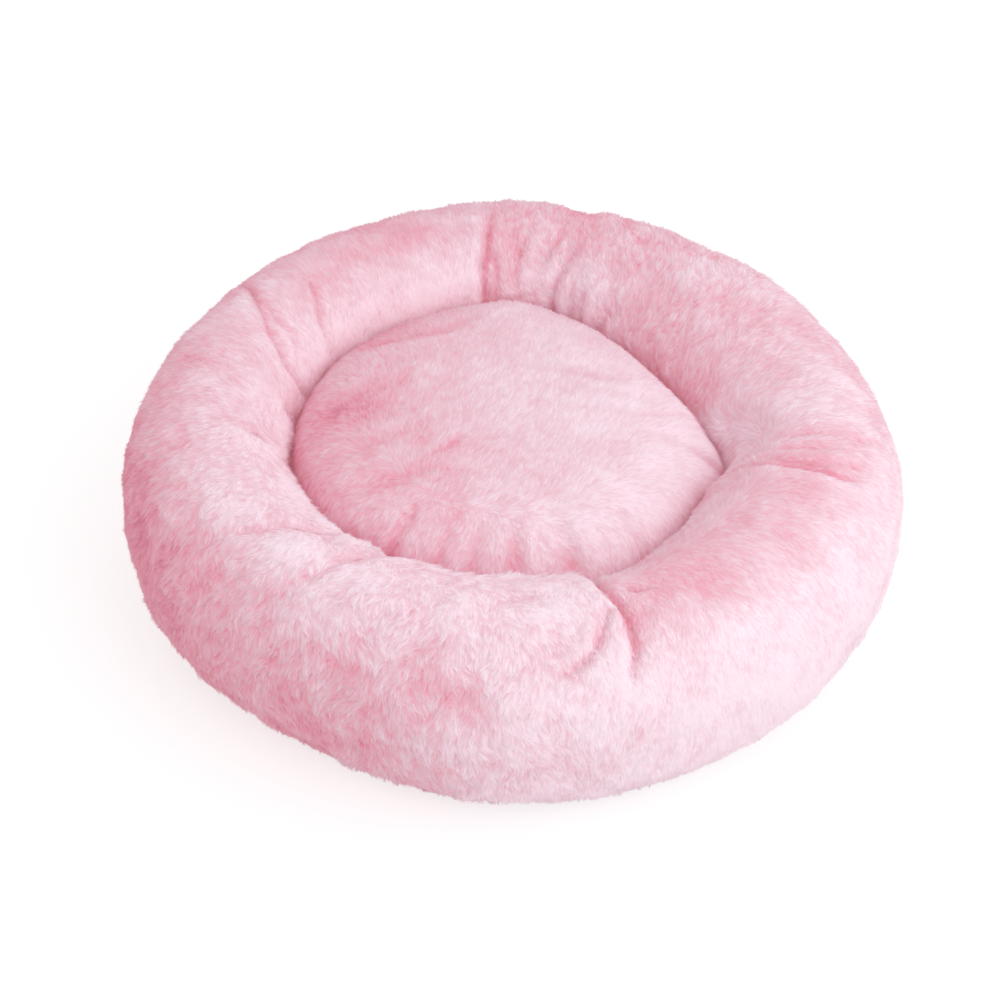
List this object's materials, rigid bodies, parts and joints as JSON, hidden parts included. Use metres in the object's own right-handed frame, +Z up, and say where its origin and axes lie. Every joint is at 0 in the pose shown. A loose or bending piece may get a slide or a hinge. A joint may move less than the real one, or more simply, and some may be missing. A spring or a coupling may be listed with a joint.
{
  "type": "pet bed",
  "caption": "Round plush pet bed: a stuffed ring with gathered creases around a loose domed cushion, on a dotted non-slip base.",
  "frame": {"origin": "on the floor under the middle of the bed", "axes": "+Z up, -Y towards the front of the bed as pictured, +X to its right"},
  "size_m": [0.6024, 0.6073, 0.1657],
  "materials": {
    "ring_plush": "short dense pink plush pile, matt, paler at the tips",
    "cushion_plush": "short dense pink plush pile, matt, combed one way",
    "cushion_lining": "plain woven pink cloth, matt",
    "fibre_filling": "white polyester fibre",
    "base_cloth": "plain woven pink cloth, matt",
    "grip_rubber": "matt grey non-slip sheet with raised dots"
  },
  "bodies": {
    "ring_and_base": {"bolster_cover": "ring_plush", "bolster_filling": "fibre_filling", "base_cloth": "base_cloth", "grip_sheet": "grip_rubber"},
    "loose_cushion": {"cushion_top_panel": "cushion_plush", "cushion_bottom_panel": "cushion_lining", "cushion_filling": "fibre_filling"}
  },
  "joints": [
    {"name": "cushion_lift", "type": "slide", "parent": "ring_and_base", "child": "loose_cushion", "axis": [0, 0, 1], "range_m": [0, 0.2]}
  ]
}
